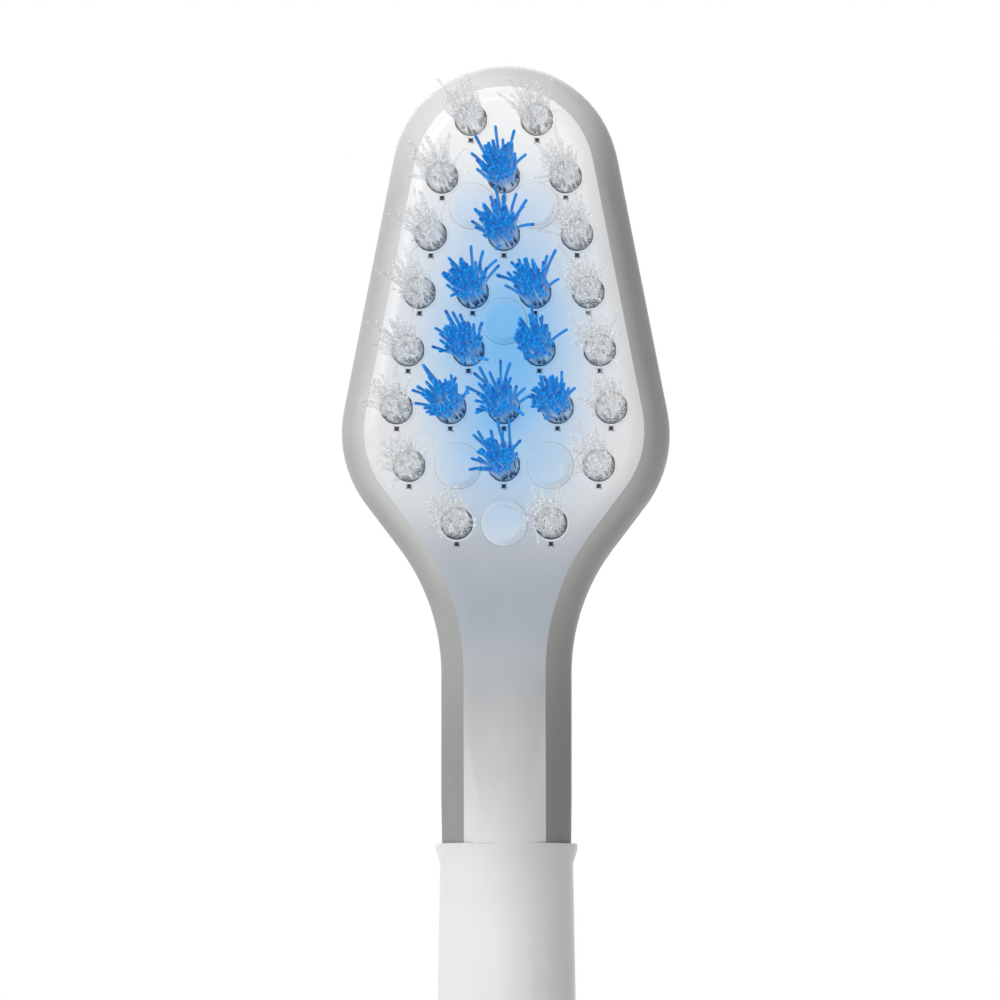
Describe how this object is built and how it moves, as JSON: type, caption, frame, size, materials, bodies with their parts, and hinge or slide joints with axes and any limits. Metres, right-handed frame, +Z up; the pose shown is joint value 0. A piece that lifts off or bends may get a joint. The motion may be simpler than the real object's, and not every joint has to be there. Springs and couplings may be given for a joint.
{
  "type": "electric toothbrush head",
  "caption": "Electric toothbrush head: kite-shaped plate of clear and blue tufts on a slim neck with a soft jacket, and a flared shaft with a socket for the handle's drive shaft.",
  "frame": {"origin": "centre of the drive shaft's socket, at its mouth in the base", "axes": "+Z up the shaft to the tip of the head, -Y the way the bristles point, +X to the right as seen from the bristle side"},
  "size_m": [0.0132, 0.0192, 0.084],
  "materials": {
    "white_plastic": "glossy, slightly translucent moulding",
    "grey_elastomer": "satin soft moulding",
    "clear_nylon": "clear filaments with rounded ends",
    "blue_nylon": "blue filaments with rounded ends",
    "anchor_brass": "stamped strip",
    "hub_plastic": "plain moulding",
    "spring_steel": "bright strip"
  },
  "bodies": {
    "root": {"blue_tuft_01": "blue_nylon", "blue_tuft_02": "blue_nylon", "blue_tuft_03": "blue_nylon", "blue_tuft_04": "blue_nylon", "blue_tuft_05": "blue_nylon", "blue_tuft_06": "blue_nylon", "blue_tuft_07": "blue_nylon", "blue_tuft_08": "blue_nylon", "blue_tuft_09": "blue_nylon", "blue_tuft_10": "blue_nylon", "brush_body": "white_plastic", "clear_tuft_01": "clear_nylon", "clear_tuft_02": "clear_nylon", "clear_tuft_03": "clear_nylon", "clear_tuft_04": "clear_nylon", "clear_tuft_05": "clear_nylon", "clear_tuft_06": "clear_nylon", "clear_tuft_07": "clear_nylon", "clear_tuft_08": "clear_nylon", "clear_tuft_09": "clear_nylon", "clear_tuft_10": "clear_nylon", "clear_tuft_11": "clear_nylon", "clear_tuft_12": "clear_nylon", "clear_tuft_13": "clear_nylon", "clear_tuft_14": "clear_nylon", "clear_tuft_15": "clear_nylon", "clear_tuft_16": "clear_nylon", "retaining_clip": "spring_steel", "shaft_hub": "hub_plastic", "soft_jacket": "grey_elastomer", "tuft_anchors": "anchor_brass"}
  },
  "joints": []
}
